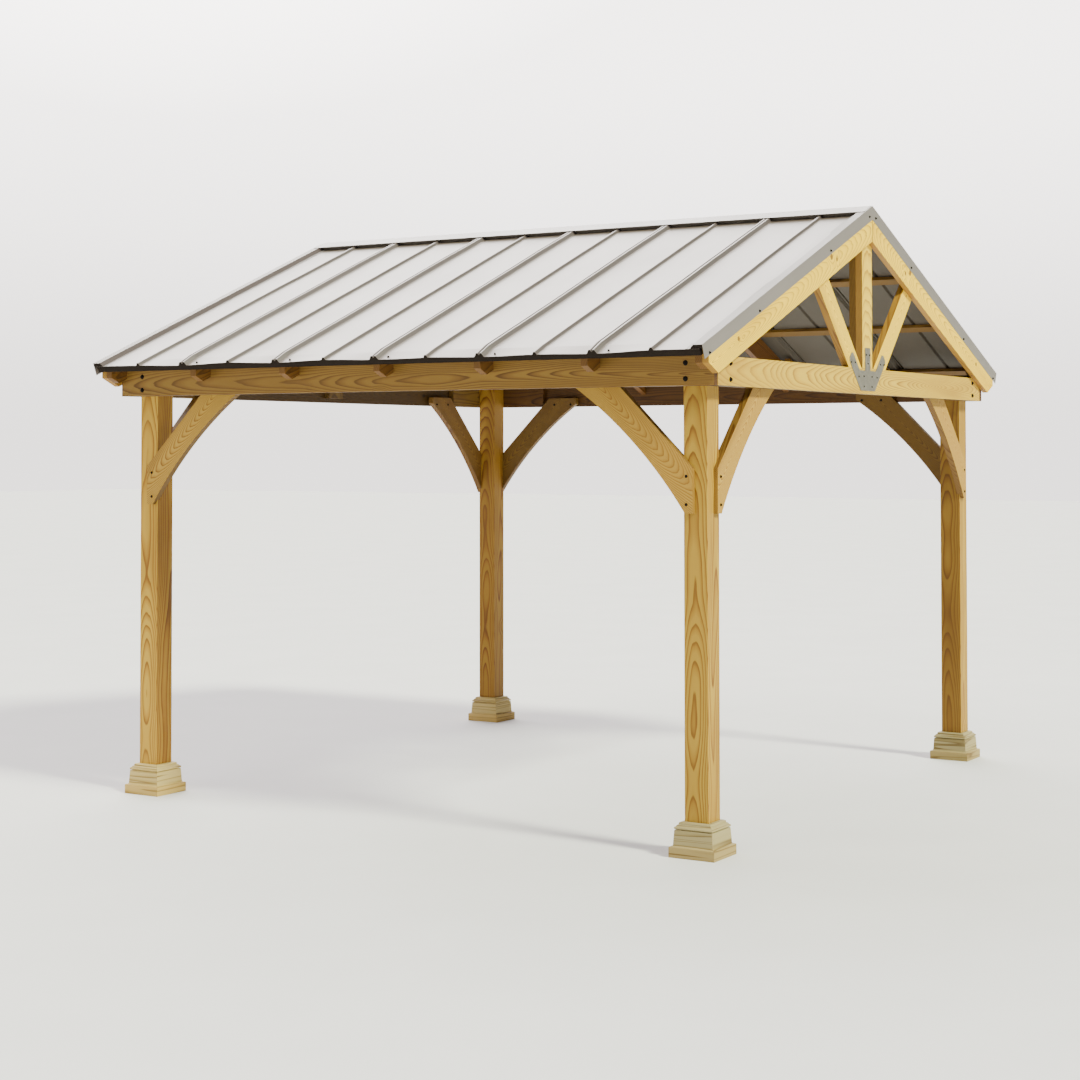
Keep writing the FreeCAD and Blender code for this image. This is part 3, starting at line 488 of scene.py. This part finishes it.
# Sections of the ribs in mm: along the eave, and height over the pan
WIDE = [(-29, 0), (-26, 1.5), (-15.5, 17.5), (-13, 19), (-6, 19), (-3, 10), (3, 10), (6, 19), (13, 19),
        (15.5, 17.5), (26, 1.5), (29, 0)]
SLIM = [(-13, 0), (-11.5, 1), (-5.5, 12), (-4, 13), (4, 13), (5.5, 12), (11.5, 1), (13, 0)]


def smooth(a, b, x):
    """0 at a, 1 at b, with an even start and end."""
    x = min(max((x - a) / (b - a), 0.0), 1.0)
    return x * x * (3 - 2 * x)


def across():
    """Places across the roof with the height over the pan; pans are split every 50 mm or so."""
    line, last = [], -SHEET_HALF
    for x, wide in RIBS + [(None, 0)]:
        shape = [(x + dx / 1000, h / 1000) for dx, h in (WIDE if wide else SLIM)] if x is not None else []
        end = shape[0][0] if shape else SHEET_HALF
        steps = max(1, round((end - last) / 0.05))
        line += [(last + (end - last) * i / steps, 0.0) for i in range(steps)] + shape[:-1]
        last = shape[-1][0] if shape else end
    return line + [(SHEET_HALF, 0.0)]


def ripple(x, s):
    """Lift of a thin sheet by slow waves, and the drop of its free eave edge, most at the wide ribs.

    Both fade out towards the gables, where the flashings hold the sheet.
    """
    loose = smooth(0.15, 0.5, s) * smooth(1.79, 1.7, abs(x))
    wave = 0.0022 * (1.0 + noise.noise((x * 2.6, s * 1.4, 3.0)) + 0.4 * noise.noise((x * 7.0, s * 3.0, 9.0)))
    place = min(max((x - RIBS[0][0]) / BAY, 0.0), len(RIBS) - 1.001)
    last = int(place)
    sag = (EAVE_SAG[last] + (EAVE_SAG[last + 1] - EAVE_SAG[last]) * smooth(0.0, 1.0, place - last)) / 1000
    hang = max(0.0, (s - FREE) / (SHEET_END - FREE))
    return loose * wave - hang * sag * smooth(1.79, 1.72, abs(x))


def on_slope(x, s, n, sy):
    """Point s down the slope and n square above the rafter line."""
    out = s * math.cos(PITCH) + n * math.sin(PITCH)
    return x, sy * out, RAFTER_APEX - s * math.sin(PITCH) + n * math.cos(PITCH)


def shell(name, rows, finish):
    """Closed shell from rows of (top, under) points."""
    bm = bmesh.new()
    tops = [[bm.verts.new(p[0]) for p in row] for row in rows]
    unders = [[bm.verts.new(p[1]) for p in row] for row in rows]
    for grid in (tops, unders):
        for a, b in zip(grid, grid[1:]):
            for i in range(len(a) - 1):
                bm.faces.new((a[i], a[i + 1], b[i + 1], b[i]))
    ends = [(tops[0], unders[0]), (tops[-1], unders[-1]), ([r[0] for r in tops], [r[0] for r in unders]),
            ([r[-1] for r in tops], [r[-1] for r in unders])]
    for a, b in ends:
        for i in range(len(a) - 1):
            bm.faces.new((a[i], a[i + 1], b[i + 1], b[i]))
    obj = link(name, closed(name, bm, finish))
    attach(obj, "root")
    return obj


line = across()
steps = [SHEET_TOP + (FREE - SHEET_TOP) * i / 30 for i in range(30)]
steps += [FREE + (SHEET_END - FREE) * i / 6 for i in range(7)]
for side, sy in (("front", -1), ("back", 1)):
    rows = []
    for s in steps:
        lift = [(x, PAN + h + ripple(x, s)) for x, h in line]
        rows.append([(on_slope(x, s, n, sy), on_slope(x, s, n - SHEET_T, sy)) for x, n in lift])
    sheet = shell("ribbed_sheet_" + side, rows, mats["roof"])
    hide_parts("roof_sheet_" + side)

    # Foam strips: under the eave edge, 5 mm back, and under the ridge cap. The black eave strip hangs low enough to
    # fill the shadow under the sheet edge too: partly real foam, partly painted shade
    rows = []
    for s in (SHEET_END - 0.029, SHEET_END - 0.005):
        rows.append([(on_slope(x, s, PAN - SHEET_T + h + ripple(x, s), sy), on_slope(x, s, STRIP_UNDER, sy))
                     for x, h in line])
    strip = shell("eave_strip_" + side, rows, mats["foam"])
    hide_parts("eave_closer_" + side)
    rows = []
    for s in (0.050, 0.066):
        rows.append([(on_slope(x, s, RIB - 0.001, sy), on_slope(x, s, PAN + min(h, 0.0175) + GAP, sy))
                     for x, h in line])
    shell("ridge_strip_" + side, rows, mats["vent"])

    # Foam plugs in the ends of the flashings' raised edges
    for hand, end in (("right", 1), ("left", -1)):
        rows = []
        for s in (SHEET_END - 0.026, SHEET_END - 0.004):
            rows.append([(on_slope(end * x, s, RIB - GAP, sy), on_slope(end * x, s, PAN, sy)) for x in PLUG])
        shell("flashing_plug_%s_%s" % (side, hand), rows, mats["foam"])


# ---------------------------------------------------------------- screws
def screw_tree():
    """Flanged hex heads on a set of points, each along its point's aim and spun at random."""
    t = bpy.data.node_groups.new("Screw heads", "GeometryNodeTree")
    t.interface.new_socket("Points", in_out="INPUT", socket_type="NodeSocketGeometry")
    for name in ("Flange radius", "Flange height", "Head radius", "Head height"):
        t.interface.new_socket(name, in_out="INPUT", socket_type="NodeSocketFloat")
    t.interface.new_socket("Seed", in_out="INPUT", socket_type="NodeSocketInt")
    t.interface.new_socket("Finish", in_out="INPUT", socket_type="NodeSocketMaterial")
    t.interface.new_socket("Heads", in_out="OUTPUT", socket_type="NodeSocketGeometry")
    points, flange, rim, radius, height, seed, finish = add(t, "NodeGroupInput", out=slice(0, 7))

    # A coned flange, the hex on it, and its chamfered top
    taper = add(t, "ShaderNodeMath", {0: flange, 1: 0.8}, operation="MULTIPLY")
    waist = add(t, "ShaderNodeMath", {0: radius, 1: 0.92}, operation="MULTIPLY")
    crown = add(t, "ShaderNodeMath", {0: radius, 1: 0.66}, operation="MULTIPLY")
    cap = add(t, "ShaderNodeMath", {0: height, 1: 0.16}, operation="MULTIPLY")
    top = add(t, "ShaderNodeMath", {0: rim, 1: height}, operation="ADD")
    disc = add(t, "GeometryNodeMeshCone",
               {"Vertices": 18, "Radius Top": taper, "Radius Bottom": flange, "Depth": rim})
    hexagon = add(t, "GeometryNodeMeshCone",
                  {"Vertices": 6, "Radius Top": waist, "Radius Bottom": radius, "Depth": height})
    chamfer = add(t, "GeometryNodeMeshCone",
                  {"Vertices": 6, "Radius Top": crown, "Radius Bottom": waist, "Depth": cap})
    rim, top = (add(t, "ShaderNodeCombineXYZ", {2: level}) for level in (rim, top))
    hexagon = add(t, "GeometryNodeTransform", {"Geometry": hexagon, "Translation": rim})
    chamfer = add(t, "GeometryNodeTransform", {"Geometry": chamfer, "Translation": top})
    head = add(t, "GeometryNodeJoinGeometry")
    for part in (chamfer, hexagon, disc):
        t.links.new(part, head.node.inputs[0])

    aim = add(t, "GeometryNodeInputNamedAttribute", {"Name": "aim"}, data_type="FLOAT_VECTOR")
    turn = add(t, "FunctionNodeAlignRotationToVector", {"Vector": aim}, axis="Z")
    spin = add(t, "FunctionNodeRandomValue", {2: 0.0, 3: math.tau, "Seed": seed}, 1, data_type="FLOAT")
    spin = add(t, "FunctionNodeAxisAngleToRotation", {"Axis": (0.0, 0.0, 1.0), "Angle": spin})
    turn = add(t, "FunctionNodeRotateRotation", {"Rotation": turn, "Rotate By": spin}, rotation_space="LOCAL")
    heads = add(t, "GeometryNodeInstanceOnPoints", {"Points": points, "Instance": head, "Rotation": turn})
    heads = add(t, "GeometryNodeRealizeInstances", {0: heads})
    heads = add(t, "GeometryNodeSetMaterial", {"Geometry": heads, "Material": finish})
    add(t, "NodeGroupOutput", {0: heads})
    return t


heads_tree = screw_tree()


def screws(name, spots, seed, finish, **sizes):
    """One piece with a head at each spot; a spot is a place and the way the head points."""
    cloud = bpy.data.meshes.new(name)
    cloud.from_pydata([place for place, _ in spots], [], [])
    for item, (_, aim) in zip(cloud.attributes.new("aim", "FLOAT_VECTOR", "POINT").data, spots):
        item.vector = aim
    obj = link(name, cloud)
    modifier = obj.modifiers.new("heads", "NODES")
    modifier.node_group = heads_tree
    values = {"Seed": seed, "Finish": finish, **{key.replace("_", " "): value for key, value in sizes.items()}}
    for socket in heads_tree.interface.items_tree:
        if socket.name in values:
            modifier[socket.identifier] = values[socket.name]
    mesh = bpy.data.meshes.new_from_object(obj.evaluated_get(bpy.context.evaluated_depsgraph_get()))
    obj.modifiers.clear()
    obj.data = mesh
    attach(obj, "root")


# Through the ends of the beams, into the posts
corners = [(sx, sy) for sx in (1, -1) for sy in (1, -1)]
screws("beam_screws",
       [((sx * 1.632, sy * SIDE_Y, z), (0, sy, 0)) for sx, sy in corners for z in (2.161, 2.233)]
       + [((sx * TIE_X, sy * 1.640, z), (sx, 0, 0)) for sx, sy in corners for z in (2.160, 2.234)],
       3, mats["screw"], Flange_radius=0.0125, Flange_height=0.003, Head_radius=0.008, Head_height=0.005)

# Through the knee braces: their outer faces at the posts, their inner ones at the beams
screws("brace_screws",
       [((sx * 1.608, sy * BRACE_Y[1], z), (0, sy, 0)) for sx, sy in corners for z in (1.592, 1.720)]
       + [((sx * BRACE_X[1], sy * 1.640, z), (sx, 0, 0)) for sx, sy in corners for z in (1.590, 1.718)]
       + [((sx * x, sy * BRACE_Y[0], 2.143), (0, -sy, 0)) for sx, sy in corners for x in (1.043, 1.170)]
       + [((sx * BRACE_X[0], sy * y, 2.140), (-sx, 0, 0)) for sx, sy in corners for y in (1.077, 1.207)],
       5, mats["screw"], Flange_radius=0.0075, Flange_height=0.002, Head_radius=0.005, Head_height=0.003)

# On the plates: mirrored pairs from the sides inwards, and one in the middle
plate = [(0.2265, 2.292), (0.1725, 2.292), (0.1245, 2.220), (0.055, 2.223), (0.055, 2.170), (0.0235, 2.336)]
plate = [(sy * y, z) for y, z in plate for sy in (1, -1)] + [(0.0, 2.291)]
screws("plate_screws", [((sx * PLATE_X, y, z), (sx, 0, 0)) for y, z in plate for sx in (1, -1)],
       7, mats["screw"], Flange_radius=0.0054, Flange_height=0.0012, Head_radius=0.0036, Head_height=0.002)

# Down each flashing, and through the sheets in a row at the eave
FLASHING_X, EAVE_ROW = 1.8102, 2.113
flashing = [(0.043, 3.058), (0.557, 2.837), (1.398, 2.485), (1.918, 2.270)]
eave = [(x, sy) for x in (-1.114, -0.506, 0.098, 0.711, 1.322) for sy in (1, -1)]
eave = [(on_slope(x, EAVE_ROW, PAN + ripple(x, EAVE_ROW), sy), (0, sy * math.sin(PITCH), math.cos(PITCH)))
        for x, sy in eave]
screws("roof_screws",
       [((sx * FLASHING_X, sy * y, z), (sx, 0, 0)) for sx, sy in corners for y, z in flashing] + eave,
       9, mats["screw"], Flange_radius=0.0068, Flange_height=0.0016, Head_radius=0.0046, Head_height=0.0044)

# ---------------------------------------------------------------- floor, light, camera
mesh = bpy.data.meshes.new("floor")
bm = bmesh.new()
bmesh.ops.create_grid(bm, x_segments=1, y_segments=1, size=60.0)
bm.to_mesh(mesh)
bm.free()
floor = link("floor", mesh)
floor.data.materials.append(mottled("Pale studio floor", "E2E2E6", "E6E6EA", 0.9, 1.5))

# Sky: even and dim, with a broad bright screen behind the left of the pavilion for the roof to reflect
world = bpy.data.worlds.new("studio")
bpy.context.scene.world = world
world.use_nodes = True
sky = world.node_tree
sky.nodes.clear()
ray = add(sky, "ShaderNodeTexCoord")
screen = add(sky, "ShaderNodeVectorMath", {0: ray, 1: (-0.75, 0.6, 0.3)}, 1, operation="DOT_PRODUCT")
glow = add(sky, "ShaderNodeMapRange",
           {"Value": screen, "From Min": 0.5, "From Max": 0.8, "To Min": 0.26, "To Max": 4.9},
           interpolation_type="SMOOTHSTEP")
heart = add(sky, "ShaderNodeVectorMath", {0: ray, 1: (-0.57, 0.64, 0.52)}, 1, operation="DOT_PRODUCT")
heart = add(sky, "ShaderNodeMapRange", {"Value": heart, "From Min": 0.93, "From Max": 1.0, "To Max": 5.0})
glow = add(sky, "ShaderNodeMath", {0: glow, 1: heart}, operation="ADD")
rise = add(sky, "ShaderNodeSeparateXYZ", {0: ray}, 2)
rise = add(sky, "ShaderNodeMapRange", {"Value": rise, "From Max": 0.22, "To Min": 0.5},
           interpolation_type="SMOOTHSTEP")
glow = add(sky, "ShaderNodeMath", {0: glow, 1: rise}, operation="MULTIPLY")
light = add(sky, "ShaderNodeBackground", {"Color": (1.0, 0.955, 0.925, 1.0), "Strength": glow})
add(sky, "ShaderNodeOutputWorld", {"Surface": light})


def sun(name, place, strength, angle, colour):
    """Soft distant light, shining from place towards the origin."""
    lamp = bpy.data.lights.new(name, "SUN")
    lamp.energy, lamp.color, lamp.angle = strength, colour, math.radians(angle)
    obj = link(name, lamp)
    obj.location = place
    obj.rotation_euler = (-Vector(place)).to_track_quat("-Z", "Y").to_euler()


sun("key", (9.0, -1.2, 8.0), 7.0, 10, (0.96, 1.0, 0.75))
sun("front", (-1.5, -6.0, 7.2), 1.15, 35, (1.0, 0.94, 0.86))

# The photo's camera: focal length and optical centre in pixels of its 1080 x 1080
WIDTH, FOCAL, CENTRE_X, CENTRE_Y = 1080, 1994.4, 547.7, 395.4
cam = link("camera", bpy.data.cameras.new("camera"))
cam.data.sensor_width = 36.0
cam.data.lens = FOCAL / WIDTH * cam.data.sensor_width
cam.data.shift_x = (WIDTH / 2 - CENTRE_X) / WIDTH
cam.data.shift_y = (CENTRE_Y - WIDTH / 2) / WIDTH
cam.data.clip_end = 200.0
cam.location = (5.7493, -9.8265, 1.8438)
cam.rotation_euler = (math.radians(90 + 1.5438), math.radians(0.0515), math.radians(31.1268))
bpy.context.scene.camera = cam
